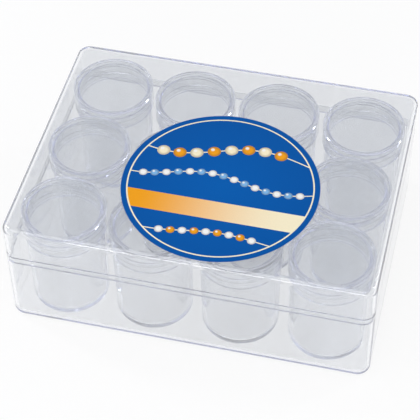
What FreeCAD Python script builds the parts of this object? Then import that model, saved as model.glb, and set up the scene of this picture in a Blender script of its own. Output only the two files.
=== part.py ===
import FreeCAD, Part
import os

# Clear storage case: a tray and a lift-off lid around a grid of screw-top jars.
# Millimetres, +Z up, front towards -Y, origin on the table under the middle of the case.

# Grid of jars
jar_columns = 4
jar_rows = 3
gap_between_jars = 2.24
gap_to_case_wall = 1.9
gap_over_jars = 2.55

# Air between pieces that rest on each other
rest_gap = 0.05

# Jar lid
jar_lid_height = 10.6
jar_lid_wall = 0.9
jar_lid_panel = 1.4
stacking_rim_width = 0.9
stacking_rim_height = 0.6
jar_lid_edge_round = 0.4

# Screw thread between jar and jar lid, right-handed
thread_pitch = 4.0
thread_turns = 1.35
ridge_height = 0.55
ridge_root_width = 1.0
ridge_crest_width = 0.5
ridge_sunk_in_wall = 0.25
ridge_end_margin = 0.5
thread_clearance = 0.3

# Jar
jar_closed_height = 50.4
jar_body_diameter = 34.6
jar_foot_inset = 0.3
jar_shoulder_width = 0.75
jar_neck_wall = 0.9
jar_floor = 2.2
jar_bore_taper = 0.4
jar_foot_round = 2.5
jar_bore_round = 2.0
jar_shoulder_round = 0.5
jar_mouth_round = 0.3
gap_under_jar_lid = 0.5

# Case
case_lid_height = 16.6
case_floor = 2.2
case_top = 1.6
case_corner_radius = 5.6
case_bottom_round = 4.4
case_top_round = 2.6
case_inside_round = 1.4
seam_edge_round = 0.35

# Tongue of the case lid inside the lip of the case base
lip_thickness = 0.6
tongue_thickness = 0.6
tongue_clearance = 0.3
tongue_depth = 3.75

# Paper label on the lid
label_diameter = 85.6
label_thickness = 0.15
label_right_of_middle = 4.9
label_front_margin = 2.65

# Sizes that follow from the ones above
jar_body_radius = jar_body_diameter / 2
jar_foot_radius = jar_body_radius - jar_foot_inset
jar_neck_radius = jar_body_radius - jar_shoulder_width
jar_mouth_radius = jar_neck_radius - jar_neck_wall
jar_lid_bore_radius = jar_neck_radius + ridge_height + thread_clearance
jar_lid_radius = jar_lid_bore_radius + jar_lid_wall
jar_pitch = 2 * max(jar_lid_radius, jar_body_radius) + gap_between_jars
inside_length = jar_columns * jar_pitch - gap_between_jars + 2 * gap_to_case_wall
inside_width = jar_rows * jar_pitch - gap_between_jars + 2 * gap_to_case_wall
case_wall = lip_thickness + tongue_clearance + tongue_thickness
bottom_round = min(case_bottom_round, case_corner_radius - seam_edge_round)
case_height = case_floor + rest_gap + jar_closed_height + gap_over_jars + case_top
seam_height = case_height - case_lid_height
jar_panel_height = jar_closed_height - stacking_rim_height - jar_lid_panel
jar_mouth_height = jar_panel_height - rest_gap
jar_shoulder_height = jar_closed_height - jar_lid_height - gap_under_jar_lid


def rounded_block(inset, bottom, top):
    """Upright block with the case's outline, drawn in from the outer wall by inset."""
    length = inside_length + 2 * (case_wall - inset)
    width = inside_width + 2 * (case_wall - inset)
    corner = FreeCAD.Vector(-length / 2, -width / 2, bottom)
    block = Part.makeBox(length, width, top - bottom, corner)
    uprights = [edge for edge in block.Edges if edge.BoundBox.ZLength > (top - bottom) / 2]
    return block.makeFillet(case_corner_radius - inset, uprights)


def round_level_edges(shape, height, radius):
    """Rounds every edge that lies flat at the given height."""
    level = [edge for edge in shape.Edges
             if abs(edge.BoundBox.ZMin - height) < 1e-6 and abs(edge.BoundBox.ZMax - height) < 1e-6]
    return shape.makeFillet(radius, level)


def round_circle(shape, radius_of_edge, height, radius):
    """Rounds the level circular edge of the given radius at the given height."""
    circles = [edge for edge in shape.Edges
               if isinstance(edge.Curve, Part.Circle)
               and abs(edge.Curve.Radius - radius_of_edge) < 1e-6
               and abs(edge.Curve.Center.z - height) < 1e-6]
    return shape.makeFillet(radius, circles)


def turned(outline):
    """Solid of revolution about Z from (radius, height) points."""
    points = [FreeCAD.Vector(radius, 0, height) for radius, height in outline]
    face = Part.Face(Part.makePolygon(points + points[:1]))
    return face.revolve(FreeCAD.Vector(0, 0, 0), FreeCAD.Vector(0, 0, 1), 360)


def thread_ridge(wall_radius, outward, start_height, start_angle):
    """Helical ridge on a round wall, pointing outward (1) or inward (-1)."""
    helix = Part.makeHelix(thread_pitch, thread_turns * thread_pitch, wall_radius)
    sunk = wall_radius - outward * ridge_sunk_in_wall
    crest = wall_radius + outward * ridge_height
    half_root = ridge_root_width / 2
    half_crest = ridge_crest_width / 2
    section = [(sunk, -half_root), (wall_radius, -half_root), (crest, -half_crest),
               (crest, half_crest), (wall_radius, half_root), (sunk, half_root)]
    points = [FreeCAD.Vector(radius, 0, height) for radius, height in section]
    ridge = Part.Wire(helix.Edges).makePipeShell([Part.makePolygon(points + points[:1])], True, True)
    ridge.rotate(FreeCAD.Vector(0, 0, 0), FreeCAD.Vector(0, 0, 1), start_angle)
    ridge.translate(FreeCAD.Vector(0, 0, start_height))
    return ridge


def make_case_base():
    """Tray with a rebate around its rim that takes the lid's tongue."""
    lip_height = seam_height - rest_gap
    tray = rounded_block(0, 0, lip_height)
    tray = round_level_edges(tray, 0, bottom_round)
    tray = round_level_edges(tray, lip_height, seam_edge_round)
    hollow = rounded_block(case_wall, case_floor, case_height)
    hollow = round_level_edges(hollow, case_floor, max(bottom_round - case_wall, seam_edge_round))
    rebate = rounded_block(lip_thickness, seam_height - tongue_depth, case_height)
    return tray.cut(hollow).cut(rebate)


def make_case_lid():
    """Lid that rests on the tray's lip, with a tongue inside it."""
    cover = rounded_block(0, seam_height, case_height)
    cover = round_level_edges(cover, case_height, case_top_round)
    cover = round_level_edges(cover, seam_height, seam_edge_round)
    tongue_end = seam_height - tongue_depth + tongue_clearance
    tongue = rounded_block(lip_thickness + tongue_clearance, tongue_end, case_height - case_top)
    hollow = rounded_block(case_wall, tongue_end, case_height - case_top)
    hollow = round_level_edges(hollow, case_height - case_top, case_inside_round)
    return cover.fuse(tongue).cut(hollow).removeSplitter()


def make_lid_label():
    """Thin paper disc stuck to the top of the lid."""
    lid_front = -inside_width / 2 - case_wall
    label_middle = lid_front + label_front_margin + label_diameter / 2
    centre = FreeCAD.Vector(label_right_of_middle, label_middle, case_height)
    return Part.makeCylinder(label_diameter / 2, label_thickness, centre)


def jar_ridge_start():
    """Height of the middle of the jar's ridge at its lower end."""
    return jar_mouth_height - ridge_end_margin - ridge_root_width / 2 - thread_turns * thread_pitch


def make_jar():
    """Thick-walled jar with an open mouth and a threaded neck, standing at height 0."""
    bore_foot_radius = jar_mouth_radius - jar_bore_taper
    jar = turned([
        (0, 0), (jar_foot_radius, 0), (jar_body_radius, jar_shoulder_height),
        (jar_neck_radius, jar_shoulder_height), (jar_neck_radius, jar_mouth_height),
        (jar_mouth_radius, jar_mouth_height), (bore_foot_radius, jar_floor), (0, jar_floor)])
    jar = round_circle(jar, jar_foot_radius, 0, jar_foot_round)
    jar = round_circle(jar, bore_foot_radius, jar_floor, jar_bore_round)
    jar = round_circle(jar, jar_body_radius, jar_shoulder_height, jar_shoulder_round)
    jar = round_circle(jar, jar_neck_radius, jar_mouth_height, jar_mouth_round)
    jar = round_circle(jar, jar_mouth_radius, jar_mouth_height, jar_mouth_round)
    return jar.fuse(thread_ridge(jar_neck_radius, 1, jar_ridge_start(), 0))


def make_jar_lid():
    """Screw lid with a raised stacking rim, its ridge just under the jar's ridge."""
    panel_radius = jar_lid_radius - stacking_rim_width
    skirt_end = jar_closed_height - jar_lid_height
    panel_top = jar_closed_height - stacking_rim_height
    lid = turned([
        (0, jar_panel_height), (jar_lid_bore_radius, jar_panel_height), (jar_lid_bore_radius, skirt_end),
        (jar_lid_radius, skirt_end), (jar_lid_radius, jar_closed_height), (panel_radius, jar_closed_height),
        (panel_radius, panel_top), (0, panel_top)])
    lid = round_circle(lid, jar_lid_radius, jar_closed_height, jar_lid_edge_round)
    lid = round_circle(lid, jar_lid_radius, skirt_end, jar_lid_edge_round)
    lid = round_circle(lid, panel_radius, jar_closed_height, jar_lid_edge_round)
    ridge_start = skirt_end + ridge_end_margin + ridge_root_width / 2
    below_jar_ridge = ridge_root_width + thread_clearance
    turn = (ridge_start + below_jar_ridge - jar_ridge_start()) / thread_pitch * 360
    return lid.fuse(thread_ridge(jar_lid_bore_radius, -1, ridge_start, turn))


def place_in_grid(shape, row, column):
    """Copy of a jar or jar lid at its place; row 0 is the front, column 0 the left."""
    right = (column - (jar_columns - 1) / 2) * jar_pitch
    back = (row - (jar_rows - 1) / 2) * jar_pitch
    return shape.translated(FreeCAD.Vector(right, back, case_floor + rest_gap))


def main():
    """Builds every piece and writes each to its own file."""
    os.makedirs("parts", exist_ok=True)
    make_case_base().exportStep("parts/case_base.step")
    make_case_lid().exportStep("parts/case_lid.step")
    make_lid_label().exportStep("parts/lid_label.step")
    jar = make_jar()
    jar_lid = make_jar_lid()
    for row in range(jar_rows):
        for column in range(jar_columns):
            place = f"row{row + 1}_col{column + 1}"
            place_in_grid(jar, row, column).exportStep(f"parts/jar_{place}.step")
            place_in_grid(jar_lid, row, column).exportStep(f"parts/jar_lid_{place}.step")


main()
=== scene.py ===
import logging
import math
from dataclasses import dataclass, replace
from enum import Enum
from typing import Any

import bpy
import bmesh
from mathutils import Matrix, Vector


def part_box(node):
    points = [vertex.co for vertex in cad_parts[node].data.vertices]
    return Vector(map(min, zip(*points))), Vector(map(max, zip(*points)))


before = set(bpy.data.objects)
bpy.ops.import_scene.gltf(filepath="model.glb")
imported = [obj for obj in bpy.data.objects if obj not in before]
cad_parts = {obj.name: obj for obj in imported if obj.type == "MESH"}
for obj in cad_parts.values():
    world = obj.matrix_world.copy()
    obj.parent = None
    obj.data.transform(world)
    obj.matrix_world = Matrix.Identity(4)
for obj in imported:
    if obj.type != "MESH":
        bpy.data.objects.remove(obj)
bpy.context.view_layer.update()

LOG = logging.getLogger("bead_organizer")
MM = 0.001

# Sockets of the Mix node in its colour mode, which share their names with its other modes.
MIX_FIRST, MIX_SECOND, MIX_RESULT = 6, 7, 2

# Light crosses the faces of four clear pieces on its way down, and as many on its way back.
CLEAR_BOUNCES = 64
MATTE_BOUNCES = 8


def linear(hex_colour: str) -> tuple[float, float, float, float]:
    """Turns an sRGB hex colour into Blender's linear colour.

    Args:
        hex_colour: Six hex digits with a leading hash.

    Returns:
        Red, green, blue and an alpha of 1.
    """
    parts = [int(hex_colour[i:i + 2], 16) / 255 for i in (1, 3, 5)]
    red, green, blue = [p / 12.92 if p <= 0.04045 else ((p + 0.055) / 1.055) ** 2.4 for p in parts]
    return red, green, blue, 1.0


def add_node(tree: bpy.types.NodeTree, kind: str, settings: dict[str, Any] | None = None,
             inputs: dict[int | str, Any] | None = None) -> bpy.types.Node:
    """Adds one shader node.

    Args:
        tree: The node tree that takes the node.
        kind: Blender's name of the node type.
        settings: The node's own properties.
        inputs: Plain values, or output sockets to link, by input name or number.

    Returns:
        The new node.
    """
    node = tree.nodes.new(kind)
    for name, value in (settings or {}).items():
        setattr(node, name, value)
    for key, value in (inputs or {}).items():
        if isinstance(value, bpy.types.NodeSocket):
            tree.links.new(value, node.inputs[key])
        else:
            node.inputs[key].default_value = value
    return node


def empty_material(name: str) -> bpy.types.Material:
    """Makes a material with an empty node tree.

    Args:
        name: The material's name.

    Returns:
        The material.
    """
    material = bpy.data.materials.new(name)
    material.use_nodes = True
    material.node_tree.nodes.clear()
    return material


def dress(node: str, material: bpy.types.Material) -> None:
    """Puts one material on a CAD node.

    Args:
        node: The node's name.
        material: What it is made of.
    """
    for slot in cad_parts[node].material_slots:
        slot.material = material
    LOG.info("%s: %s", node, material.name)


@dataclass(frozen=True)
class ClearPolystyrene:
    """Crystal polystyrene, injection moulded in a polished mould.

    Attributes:
        name: The material's name.
        surface: Colour that each face passes.
        clearness: Share of light that passes clean; the rest is a milky haze on the faces.
        edge_tint: Colour that a long way through the plastic passes.
        edge_density: How strongly a long way is tinted, per metre.
        gloss: Roughness where the mould was brightest.
        haze: Roughness where handling has dulled it.
        ripple_mm: Width of the shallow waves left by the cooling plastic.
        ripple_depth_mm: Height of those waves.
        scuff_mm: Size of the dulled patches.
        scuff_onset: Lowest and highest noise level between which a patch goes from bright to dull.
        refraction: Index of refraction of polystyrene.
    """

    name: str
    surface: str
    clearness: float
    edge_tint: str
    edge_density: float
    gloss: float
    haze: float
    ripple_mm: float
    ripple_depth_mm: float
    scuff_mm: float
    scuff_onset: tuple[float, float] = (0.5, 0.75)
    refraction: float = 1.59

    def material(self) -> bpy.types.Material:
        """Builds the clear plastic.

        Returns:
            The material.
        """
        # To the eye: almost no colour face on, a bright polish with a faint wave in it,
        # and lavender grey where light runs a long way along a wall or rim.
        material = empty_material(self.name)
        tree = material.node_tree
        place = add_node(tree, "ShaderNodeTexCoord").outputs["Object"]
        ripple = add_node(tree, "ShaderNodeTexNoise", inputs={
            "Vector": place, "Scale": 1 / (self.ripple_mm * MM), "Detail": 1.0})
        scuff = add_node(tree, "ShaderNodeTexNoise", inputs={
            "Vector": place, "Scale": 1 / (self.scuff_mm * MM), "Detail": 4.0, "Roughness": 0.6})
        dulled = add_node(tree, "ShaderNodeMapRange", {"interpolation_type": "SMOOTHSTEP"}, {
            "Value": scuff.outputs["Fac"], "From Min": self.scuff_onset[0], "From Max": self.scuff_onset[1],
            "To Min": self.gloss, "To Max": self.haze})
        waves = add_node(tree, "ShaderNodeBump", inputs={
            "Height": ripple.outputs["Fac"], "Strength": 1.0, "Distance": self.ripple_depth_mm * MM})
        # Only light that enters the plastic meets the haze; light on its way out passes whole.
        leaving = add_node(tree, "ShaderNodeNewGeometry").outputs["Backfacing"]
        passed = add_node(tree, "ShaderNodeMath", {"operation": "MULTIPLY_ADD"}, {
            0: leaving, 1: 1 - self.clearness, 2: self.clearness})
        shader = add_node(tree, "ShaderNodeBsdfPrincipled", {"distribution": "MULTI_GGX"}, {
            "Base Color": linear(self.surface), "Roughness": dulled.outputs["Result"], "IOR": self.refraction,
            "Transmission Weight": passed.outputs[0], "Normal": waves.outputs["Normal"]})
        depth = add_node(tree, "ShaderNodeVolumeAbsorption", inputs={
            "Color": linear(self.edge_tint), "Density": self.edge_density})
        add_node(tree, "ShaderNodeOutputMaterial", inputs={
            "Surface": shader.outputs["BSDF"], "Volume": depth.outputs["Volume"]})
        return material


class Ink(Enum):
    """Colours of the label's print."""

    BLUE = "#005BAC"
    DEEP_BLUE = "#0053A1"
    ORANGE = "#F0A01E"
    CREAM = "#F6EBCA"
    WHITE = "#F4F4F2"
    SKY = "#7FB4E2"
    SHADE = "#5A4A38"


@dataclass(frozen=True)
class BeadString:
    """A printed row of beads along a wavy thread, in shares of the label's radius.

    Attributes:
        height: Middle of the wave, from the label's centre.
        swing: Height of the wave.
        turns: Radians of wave per radius.
        phase: Where the wave starts, in radians.
        spacing: Distance between beads.
        bead: Radius of a bead.
        thread: Half the width of the thread.
        first: Ink of every other bead.
        second: Ink of the beads between them.
    """

    height: float
    swing: float
    turns: float
    phase: float
    spacing: float
    bead: float
    thread: float
    first: Ink
    second: Ink


@dataclass(frozen=True)
class BeadShading:
    """How printed beads are shaded to look round, in shares of a bead's radius.

    Attributes:
        shade_from: Where the shade towards the bead's edge starts.
        shade_most: Share of the shade's ink at the edge.
        glint: Place of the glint from the bead's middle.
        glint_core: Radius of the bright middle of the glint.
        glint_reach: Radius at which the glint has faded.
        glint_most: Share of white ink in the glint's middle.
        border_gap: Least distance from a bead's middle to the border.
    """

    shade_from: float = 0.4
    shade_most: float = 0.45
    glint: tuple[float, float] = (-0.3, 0.35)
    glint_core: float = 0.15
    glint_reach: float = 0.4
    glint_most: float = 0.9
    border_gap: float = 1.5


@dataclass(frozen=True)
class PrintedLabel:
    """Coated paper sticker, offset printed and varnished.

    Attributes:
        name: The material's name.
        sheen: Roughness of the varnish.
        varnish_level: Specular level of the varnish, low because it is thin and satin.
        fibre_mm: Size of the paper's tooth, drawn coarse enough to show.
        tooth_mm: Height of the paper's tooth.
        tooth_shown: Share of the tooth that shows through the varnish.
        ink_range: Darkest and brightest ink over the paper's tooth.
        rim: Inner and outer radius of the printed border, in shares of the label's radius.
        band: Lower and upper edge of the coloured band, in shares of the radius.
        fade: Where along the band the warm inks start and stop to change, in shares of the radius.
        strings: The printed rows of beads.
        shading: How the beads are shaded.
        refraction: Index of refraction of the varnish.
    """

    name: str
    sheen: float
    varnish_level: float
    fibre_mm: float
    tooth_mm: float
    tooth_shown: float
    ink_range: tuple[float, float]
    rim: tuple[float, float]
    band: tuple[float, float]
    fade: tuple[float, float]
    strings: tuple[BeadString, ...]
    shading: BeadShading
    refraction: float = 1.5

    def material(self, low: Vector, high: Vector) -> bpy.types.Material:
        """Builds the printed paper for a label that fills a box.

        Args:
            low: The label's lowest corner.
            high: The label's highest corner.

        Returns:
            The material.
        """
        # To the eye: flat, dense inks with a soft satin sheen and a faint tooth of paper under them.
        material = empty_material(self.name)
        tree = material.node_tree
        place = add_node(tree, "ShaderNodeTexCoord").outputs["Object"]
        radius = (high.x - low.x) / 2
        centred = add_node(tree, "ShaderNodeMapping", {"vector_type": "TEXTURE"}, {
            "Vector": place, "Location": (low + high) / 2, "Scale": (radius, radius, radius)})
        across = add_node(tree, "ShaderNodeSeparateXYZ", inputs={"Vector": centred.outputs["Vector"]})
        x, y = across.outputs["X"], across.outputs["Y"]
        flat = add_node(tree, "ShaderNodeCombineXYZ", inputs={"X": x, "Y": y}).outputs["Vector"]
        reach = add_node(tree, "ShaderNodeVectorMath", {"operation": "LENGTH"}, {0: flat}).outputs["Value"]
        within = add_node(tree, "ShaderNodeMath", {"operation": "LESS_THAN"}, {
            0: reach, 1: self.rim[0]}).outputs[0]
        colour = self.ground(tree, x, y, reach, within)
        for string in self.strings:
            colour = self.thread_beads(tree, x, y, within, string, colour)
        fibre = add_node(tree, "ShaderNodeTexNoise", inputs={
            "Vector": place, "Scale": 1 / (self.fibre_mm * MM), "Detail": 3.0})
        tooth = add_node(tree, "ShaderNodeBump", inputs={
            "Height": fibre.outputs["Fac"], "Strength": self.tooth_shown, "Distance": self.tooth_mm * MM})
        shade = add_node(tree, "ShaderNodeMapRange", inputs={
            "Value": fibre.outputs["Fac"], "To Min": self.ink_range[0], "To Max": self.ink_range[1]})
        inked = add_node(tree, "ShaderNodeVectorMath", {"operation": "SCALE"}, {
            0: colour, "Scale": shade.outputs["Result"]})
        shader = add_node(tree, "ShaderNodeBsdfPrincipled", inputs={
            "Base Color": inked.outputs["Vector"], "Roughness": self.sheen, "IOR": self.refraction,
            "Specular IOR Level": self.varnish_level, "Normal": tooth.outputs["Normal"]})
        add_node(tree, "ShaderNodeOutputMaterial", inputs={"Surface": shader.outputs["BSDF"]})
        return material

    def ground(self, tree: bpy.types.NodeTree, x: bpy.types.NodeSocket, y: bpy.types.NodeSocket,
               reach: bpy.types.NodeSocket, within: bpy.types.NodeSocket) -> bpy.types.NodeSocket:
        """Prints the blue ground, the fading band across it and the border.

        Args:
            tree: The material's node tree.
            x: Place across the label, -1 to 1.
            y: Place up the label, -1 to 1.
            reach: Distance from the label's centre, 0 to 1.
            within: 1 inside the border, 0 outside it.

        Returns:
            The colour so far.
        """
        blue = add_node(tree, "ShaderNodeMix", {"data_type": "RGBA"}, {
            "Factor": reach, MIX_FIRST: linear(Ink.BLUE.value), MIX_SECOND: linear(Ink.DEEP_BLUE.value)})
        fade = add_node(tree, "ShaderNodeMapRange", {"interpolation_type": "SMOOTHSTEP"}, {
            "Value": x, "From Min": self.fade[0], "From Max": self.fade[1]})
        warm = add_node(tree, "ShaderNodeMix", {"data_type": "RGBA"}, {
            "Factor": fade.outputs["Result"], MIX_FIRST: linear(Ink.ORANGE.value),
            MIX_SECOND: linear(Ink.CREAM.value)})
        above = add_node(tree, "ShaderNodeMath", {"operation": "GREATER_THAN"}, {0: y, 1: self.band[0]})
        below = add_node(tree, "ShaderNodeMath", {"operation": "LESS_THAN"}, {0: y, 1: self.band[1]})
        level = add_node(tree, "ShaderNodeMath", {"operation": "MULTIPLY"}, {
            0: above.outputs[0], 1: below.outputs[0]})
        band = add_node(tree, "ShaderNodeMath", {"operation": "MULTIPLY"}, {0: level.outputs[0], 1: within})
        banded = add_node(tree, "ShaderNodeMix", {"data_type": "RGBA"}, {
            "Factor": band.outputs[0], MIX_FIRST: blue.outputs[MIX_RESULT],
            MIX_SECOND: warm.outputs[MIX_RESULT]})
        border = add_node(tree, "ShaderNodeMath", {"operation": "COMPARE"}, {
            0: reach, 1: sum(self.rim) / 2, 2: (self.rim[1] - self.rim[0]) / 2})
        edged = add_node(tree, "ShaderNodeMix", {"data_type": "RGBA"}, {
            "Factor": border.outputs[0], MIX_FIRST: banded.outputs[MIX_RESULT],
            MIX_SECOND: linear(Ink.CREAM.value)})
        return edged.outputs[MIX_RESULT]

    def thread_beads(self, tree: bpy.types.NodeTree, x: bpy.types.NodeSocket, y: bpy.types.NodeSocket,
                     within: bpy.types.NodeSocket, string: BeadString,
                     under: bpy.types.NodeSocket) -> bpy.types.NodeSocket:
        """Prints one row of whole beads on its thread.

        Args:
            tree: The material's node tree.
            x: Place across the label, -1 to 1.
            y: Place up the label, -1 to 1.
            within: 1 inside the border, 0 outside it.
            string: The row of beads.
            under: The colour so far.

        Returns:
            The colour with the beads on it.
        """
        cell = add_node(tree, "ShaderNodeMath", {"operation": "DIVIDE"}, {0: x, 1: string.spacing})
        number = add_node(tree, "ShaderNodeMath", {"operation": "ROUND"}, {0: cell.outputs[0]})
        middle = add_node(tree, "ShaderNodeMath", {"operation": "MULTIPLY"}, {
            0: number.outputs[0], 1: string.spacing})
        heights = []
        for along in (x, middle.outputs[0]):
            angle = add_node(tree, "ShaderNodeMath", {"operation": "MULTIPLY_ADD"}, {
                0: along, 1: string.turns, 2: string.phase})
            wave = add_node(tree, "ShaderNodeMath", {"operation": "SINE"}, {0: angle.outputs[0]})
            line = add_node(tree, "ShaderNodeMath", {"operation": "MULTIPLY_ADD"}, {
                0: wave.outputs[0], 1: string.swing, 2: string.height})
            heights.append(line.outputs[0])
        thread_height, bead_height = heights
        along_line = add_node(tree, "ShaderNodeMath", {"operation": "COMPARE"}, {
            0: y, 1: thread_height, 2: string.thread})
        thread = add_node(tree, "ShaderNodeMath", {"operation": "MULTIPLY"}, {
            0: along_line.outputs[0], 1: within})
        threaded = add_node(tree, "ShaderNodeMix", {"data_type": "RGBA"}, {
            "Factor": thread.outputs[0], MIX_FIRST: under, MIX_SECOND: linear(Ink.CREAM.value)})
        here = add_node(tree, "ShaderNodeCombineXYZ", inputs={"X": x, "Y": y})
        bead = add_node(tree, "ShaderNodeCombineXYZ", inputs={"X": middle.outputs[0], "Y": bead_height})
        away = add_node(tree, "ShaderNodeVectorMath", {"operation": "DISTANCE"}, {
            0: here.outputs["Vector"], 1: bead.outputs["Vector"]})
        covers = add_node(tree, "ShaderNodeMath", {"operation": "LESS_THAN"}, {
            0: away.outputs["Value"], 1: string.bead})
        out = add_node(tree, "ShaderNodeVectorMath", {"operation": "LENGTH"}, {0: bead.outputs["Vector"]})
        whole = add_node(tree, "ShaderNodeMath", {"operation": "LESS_THAN"}, {
            0: out.outputs["Value"], 1: self.rim[0] - self.shading.border_gap * string.bead})
        printed = add_node(tree, "ShaderNodeMath", {"operation": "MULTIPLY"}, {
            0: covers.outputs[0], 1: whole.outputs[0]})
        odd = add_node(tree, "ShaderNodeMath", {"operation": "PINGPONG"}, {0: number.outputs[0], 1: 1.0})
        ink = add_node(tree, "ShaderNodeMix", {"data_type": "RGBA"}, {
            "Factor": odd.outputs[0], MIX_FIRST: linear(string.first.value),
            MIX_SECOND: linear(string.second.value)})
        shaded = self.shade_bead(tree, here.outputs["Vector"], bead.outputs["Vector"], away.outputs["Value"],
                                 string.bead, ink.outputs[MIX_RESULT])
        beaded = add_node(tree, "ShaderNodeMix", {"data_type": "RGBA"}, {
            "Factor": printed.outputs[0], MIX_FIRST: threaded.outputs[MIX_RESULT], MIX_SECOND: shaded})
        return beaded.outputs[MIX_RESULT]

    def shade_bead(self, tree: bpy.types.NodeTree, here: bpy.types.NodeSocket, bead: bpy.types.NodeSocket,
                   away: bpy.types.NodeSocket, radius: float,
                   ink: bpy.types.NodeSocket) -> bpy.types.NodeSocket:
        """Shades a bead's edge and prints a glint on it, so that it looks round.

        Args:
            tree: The material's node tree.
            here: Place on the label.
            bead: Middle of the nearest bead.
            away: Distance between the two.
            radius: Radius of the bead.
            ink: The bead's own colour.

        Returns:
            The shaded colour.
        """
        look = self.shading
        turned_away = add_node(tree, "ShaderNodeMapRange", {"interpolation_type": "SMOOTHSTEP"}, {
            "Value": away, "From Min": look.shade_from * radius, "From Max": radius,
            "To Max": look.shade_most})
        rounded = add_node(tree, "ShaderNodeMix", {"data_type": "RGBA"}, {
            "Factor": turned_away.outputs["Result"], MIX_FIRST: ink, MIX_SECOND: linear(Ink.SHADE.value)})
        spot = add_node(tree, "ShaderNodeVectorMath", {"operation": "ADD"}, {
            0: bead, 1: (look.glint[0] * radius, look.glint[1] * radius, 0.0)})
        off_spot = add_node(tree, "ShaderNodeVectorMath", {"operation": "DISTANCE"}, {
            0: here, 1: spot.outputs["Vector"]})
        glint = add_node(tree, "ShaderNodeMapRange", {"interpolation_type": "SMOOTHSTEP"}, {
            "Value": off_spot.outputs["Value"], "From Min": look.glint_core * radius,
            "From Max": look.glint_reach * radius, "To Min": look.glint_most, "To Max": 0.0})
        shiny = add_node(tree, "ShaderNodeMix", {"data_type": "RGBA"}, {
            "Factor": glint.outputs["Result"], MIX_FIRST: rounded.outputs[MIX_RESULT],
            MIX_SECOND: linear(Ink.WHITE.value)})
        return shiny.outputs[MIX_RESULT]


@dataclass
class StorageCase:
    """The clear case: its tray, its lift-off lid and the label on the lid.

    Attributes:
        plastic: The case's clear plastic.
        label: The label's printed paper.
    """

    plastic: ClearPolystyrene
    label: PrintedLabel

    def dress(self) -> None:
        """Gives the tray, lid and label their materials."""
        clear = self.plastic.material()
        for node in ("case_base", "case_lid"):
            dress(node, clear)
        dress("lid_label", self.label.material(*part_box("lid_label")))


@dataclass
class JarSet:
    """The screw-top jars in the case.

    Attributes:
        jar_plastic: Clear plastic of the jars.
        lid_plastic: Clear plastic of their lids.
    """

    jar_plastic: ClearPolystyrene
    lid_plastic: ClearPolystyrene

    def dress(self) -> None:
        """Gives every jar and jar lid its material."""
        jar, lid = self.jar_plastic.material(), self.lid_plastic.material()
        for node in sorted(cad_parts):
            if node.startswith("jar_lid_"):
                dress(node, lid)
            elif node.startswith("jar_"):
                dress(node, jar)


@dataclass(frozen=True)
class Softbox:
    """A soft studio lamp.

    Attributes:
        name: The lamp's name.
        place: Where it stands, in metres.
        size: Width and height of its face, in metres.
        watts: Its power.
    """

    name: str
    place: tuple[float, float, float]
    size: tuple[float, float]
    watts: float

    def build(self, aim: Vector) -> None:
        """Hangs the lamp, turned to face a point.

        Args:
            aim: The point that it faces.
        """
        lamp = bpy.data.lights.new(self.name, "AREA")
        lamp.shape = "RECTANGLE"
        lamp.size, lamp.size_y = self.size
        lamp.energy = self.watts
        holder = bpy.data.objects.new(self.name, lamp)
        holder.location = self.place
        holder.rotation_euler = (aim - Vector(self.place)).to_track_quat("-Z", "Y").to_euler()
        bpy.context.scene.collection.objects.link(holder)
        LOG.info("%s: %.1f W", self.name, self.watts)


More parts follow.
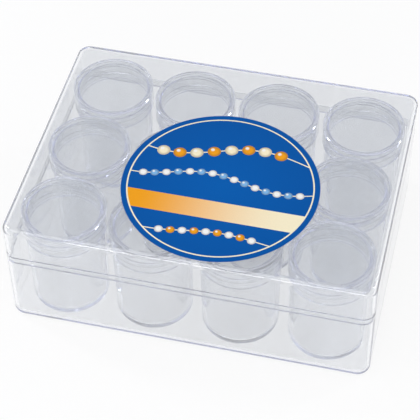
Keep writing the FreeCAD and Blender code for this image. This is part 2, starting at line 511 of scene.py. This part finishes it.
@dataclass
class Studio:
    """Plain pale floor, soft light, a light surround and the camera.

    Attributes:
        floor_radius: Reach of the floor, in metres.
        floor_gap: From the case down to the floor, so that their faces never coincide, in metres.
        floor_colour: Paper of the floor.
        floor_glow: Share of plain white in what the floor shows; the rest keeps the shadow.
        grain_mm: Size of the floor paper's faint grain.
        grain_tone: Darkest and brightest tone of that grain.
        horizon: Surround's colour at eye level.
        overhead: Surround's colour straight up.
        rise: Heights between which the first turns into the second, where 1 is straight up.
        ambient: Strength of the surround as light.
        lamps: The soft lamps.
        aim: Point that the camera looks at, in metres.
        azimuth: Camera's turn to the right of the front, in degrees.
        elevation: Camera's height above the horizon, in degrees.
        roll: Camera's tilt about its view, in degrees.
        distance: From the camera to that point, in metres.
        lens: Focal length, in millimetres.
        sensor: Width of the sensor, in millimetres.
    """

    floor_radius: float
    floor_gap: float
    floor_colour: str
    floor_glow: float
    grain_mm: float
    grain_tone: tuple[float, float]
    horizon: str
    overhead: str
    rise: tuple[float, float]
    ambient: float
    lamps: tuple[Softbox, ...]
    aim: Vector
    azimuth: float
    elevation: float
    roll: float
    distance: float
    lens: float
    sensor: float

    def build(self) -> None:
        """Sets up the floor, surround, lamps and camera."""
        self.lay_floor()
        self.hang_surround()
        for lamp in self.lamps:
            lamp.build(self.aim)
        self.place_camera()

    def lay_floor(self) -> None:
        """Lays a round sheet of white paper just under the case."""
        sheet = bmesh.new()
        bmesh.ops.create_circle(sheet, cap_ends=True, segments=64, radius=self.floor_radius)
        bmesh.ops.translate(sheet, verts=sheet.verts, vec=(0.0, 0.0, -self.floor_gap))
        mesh = bpy.data.meshes.new("floor")
        sheet.to_mesh(mesh)
        sheet.free()
        floor = bpy.data.objects.new("floor", mesh)
        bpy.context.scene.collection.objects.link(floor)
        mesh.materials.append(self.paper())
        LOG.info("floor: %.1f m across", 2 * self.floor_radius)

    def paper(self) -> bpy.types.Material:
        """Builds the floor's paper.

        Returns:
            The material.
        """
        # To the eye: a plain matte white with hardly any grain, which takes a soft shadow.
        material = empty_material("matte_white_paper")
        tree = material.node_tree
        place = add_node(tree, "ShaderNodeTexCoord").outputs["Object"]
        grain = add_node(tree, "ShaderNodeTexNoise", inputs={
            "Vector": place, "Scale": 1 / (self.grain_mm * MM), "Detail": 2.0})
        tone = add_node(tree, "ShaderNodeMapRange", inputs={
            "Value": grain.outputs["Fac"], "To Min": self.grain_tone[0], "To Max": self.grain_tone[1]})
        colour = add_node(tree, "ShaderNodeVectorMath", {"operation": "SCALE"}, {
            0: linear(self.floor_colour)[:3], "Scale": tone.outputs["Result"]})
        lit = add_node(tree, "ShaderNodeBsdfDiffuse", inputs={"Color": colour.outputs["Vector"]})
        white = add_node(tree, "ShaderNodeEmission", inputs={"Color": linear(self.horizon), "Strength": 1.0})
        share = add_node(tree, "ShaderNodeMath", {"operation": "MULTIPLY"}, {
            0: self.seen_rays(tree), 1: self.floor_glow})
        shown = add_node(tree, "ShaderNodeMixShader", inputs={
            0: share.outputs[0], 1: lit.outputs["BSDF"], 2: white.outputs["Emission"]})
        add_node(tree, "ShaderNodeOutputMaterial", inputs={"Surface": shown.outputs["Shader"]})
        material.cycles.emission_sampling = "NONE"
        return material

    def seen_rays(self, tree: bpy.types.NodeTree) -> bpy.types.NodeSocket:
        """Tells rays that show something from rays that only light it.

        Args:
            tree: The node tree that asks.

        Returns:
            A socket with 1 for rays from the camera and mirrored and see-through rays, 0 for the rest.
        """
        path = add_node(tree, "ShaderNodeLightPath")
        mirrored = add_node(tree, "ShaderNodeMath", {"operation": "MAXIMUM"}, {
            0: path.outputs["Is Glossy Ray"], 1: path.outputs["Is Transmission Ray"]})
        seen = add_node(tree, "ShaderNodeMath", {"operation": "MAXIMUM"}, {
            0: path.outputs["Is Camera Ray"], 1: mirrored.outputs[0]})
        return seen.outputs[0]

    def hang_surround(self) -> None:
        """Makes the world: white at eye level, greyer overhead, dimmer as a light than as a view."""
        world = bpy.data.worlds.new("studio_surround")
        world.use_nodes = True
        tree = world.node_tree
        tree.nodes.clear()
        look = add_node(tree, "ShaderNodeTexCoord").outputs["Generated"]
        up = add_node(tree, "ShaderNodeSeparateXYZ", inputs={"Vector": look}).outputs["Z"]
        risen = add_node(tree, "ShaderNodeMapRange", {"interpolation_type": "SMOOTHSTEP"}, {
            "Value": up, "From Min": self.rise[0], "From Max": self.rise[1]})
        shown = add_node(tree, "ShaderNodeMix", {"data_type": "RGBA"}, {
            "Factor": risen.outputs["Result"], MIX_FIRST: linear(self.horizon),
            MIX_SECOND: linear(self.overhead)})
        strength = add_node(tree, "ShaderNodeMapRange", inputs={
            "Value": self.seen_rays(tree), "To Min": self.ambient, "To Max": 1.0})
        light = add_node(tree, "ShaderNodeBackground", inputs={
            "Color": shown.outputs[MIX_RESULT], "Strength": strength.outputs["Result"]})
        add_node(tree, "ShaderNodeOutputWorld", inputs={"Surface": light.outputs["Background"]})
        bpy.context.scene.world = world

    def place_camera(self) -> None:
        """Stands the camera where the photograph was taken from."""
        turn, rise = math.radians(self.azimuth), math.radians(self.elevation)
        back = Vector((math.sin(turn) * math.cos(rise), -math.cos(turn) * math.cos(rise), math.sin(rise)))
        upright = back.to_track_quat("Z", "Y").to_matrix().to_4x4()
        rolled = Matrix.Rotation(math.radians(self.roll), 4, "Z")
        lens = bpy.data.cameras.new("camera")
        lens.lens = self.lens
        lens.sensor_width = self.sensor
        camera = bpy.data.objects.new("camera", lens)
        camera.matrix_world = Matrix.Translation(self.aim + back * self.distance) @ upright @ rolled
        bpy.context.scene.collection.objects.link(camera)
        bpy.context.scene.camera = camera


def set_light_paths() -> None:
    """Lets light pass through all the clear walls that lie behind each other."""
    scene = bpy.context.scene
    scene.view_settings.view_transform = "Standard"
    scene.cycles.max_bounces = CLEAR_BOUNCES
    scene.cycles.transmission_bounces = CLEAR_BOUNCES
    scene.cycles.glossy_bounces = CLEAR_BOUNCES
    scene.cycles.diffuse_bounces = MATTE_BOUNCES


CASE_PLASTIC = ClearPolystyrene(
    name="clear_moulded_polystyrene_case", surface="#FBFCFD", clearness=0.80,
    edge_tint="#929EDE", edge_density=8.0, gloss=0.01, haze=0.05,
    ripple_mm=14.0, ripple_depth_mm=0.003, scuff_mm=5.0)

# The jars and their lids are of one grade, a little clearer than the case.
JAR_PLASTIC = ClearPolystyrene(
    name="clear_moulded_polystyrene_jar", surface="#FBFCFD", clearness=0.91,
    edge_tint="#8C9CE6", edge_density=9.0, gloss=0.01, haze=0.04,
    ripple_mm=9.0, ripple_depth_mm=0.004, scuff_mm=4.0)
JAR_LID_PLASTIC = replace(JAR_PLASTIC, name="clear_moulded_polystyrene_jar_lid")

LARGE_BEADS = BeadString(
    height=0.46, swing=0.10, turns=3.4, phase=0.5, spacing=0.17, bead=0.068, thread=0.007,
    first=Ink.CREAM, second=Ink.ORANGE)
BLUE_BEADS = BeadString(
    height=0.08, swing=0.07, turns=4.2, phase=2.2, spacing=0.115, bead=0.044, thread=0.006,
    first=Ink.SKY, second=Ink.WHITE)
WHITE_BEADS = BeadString(
    height=-0.66, swing=0.04, turns=4.2, phase=0.9, spacing=0.115, bead=0.044, thread=0.006,
    first=Ink.WHITE, second=Ink.ORANGE)
LABEL_PAPER = PrintedLabel(
    name="offset_printed_paper", sheen=0.5, varnish_level=0.08, fibre_mm=0.6, tooth_mm=0.02,
    tooth_shown=0.15, ink_range=(0.94, 1.04), rim=(0.93, 0.945), band=(-0.46, -0.22), fade=(-0.8, 0.8),
    strings=(LARGE_BEADS, BLUE_BEADS, WHITE_BEADS), shading=BeadShading())

LAMPS = (
    Softbox("key_softbox", place=(-0.15, -0.4, 1.0), size=(0.9, 0.7), watts=3.6),
    Softbox("side_softbox", place=(0.9, 0.1, 0.7), size=(0.6, 0.6), watts=1.2),
    Softbox("front_softbox", place=(0.1, -1.1, 0.4), size=(0.9, 0.4), watts=4.6),
    Softbox("left_strip_softbox", place=(-0.8, 0.2, 0.65), size=(0.1, 0.45), watts=2.2),
    Softbox("right_strip_softbox", place=(0.75, 0.55, 0.6), size=(0.1, 0.4), watts=1.4),
)


def main() -> None:
    """Dresses the case and the jars and sets up the studio."""
    logging.basicConfig(level=logging.INFO, format="%(message)s")
    StorageCase(CASE_PLASTIC, LABEL_PAPER).dress()
    JarSet(JAR_PLASTIC, JAR_LID_PLASTIC).dress()
    Studio(
        floor_radius=3.0, floor_gap=0.2 * MM, floor_colour="#FBFBFC", floor_glow=0.86,
        grain_mm=6.0, grain_tone=(0.985, 1.0),
        horizon="#FFFFFF", overhead="#B2B5BD", rise=(0.1, 0.95), ambient=0.64, lamps=LAMPS,
        aim=Vector((-3.26, -1.71, 25.22)) * MM, azimuth=14.18, elevation=47.66, roll=-0.97,
        distance=0.697, lens=132.7, sensor=36.0,
    ).build()
    set_light_paths()


if __name__ == "__main__":
    main()
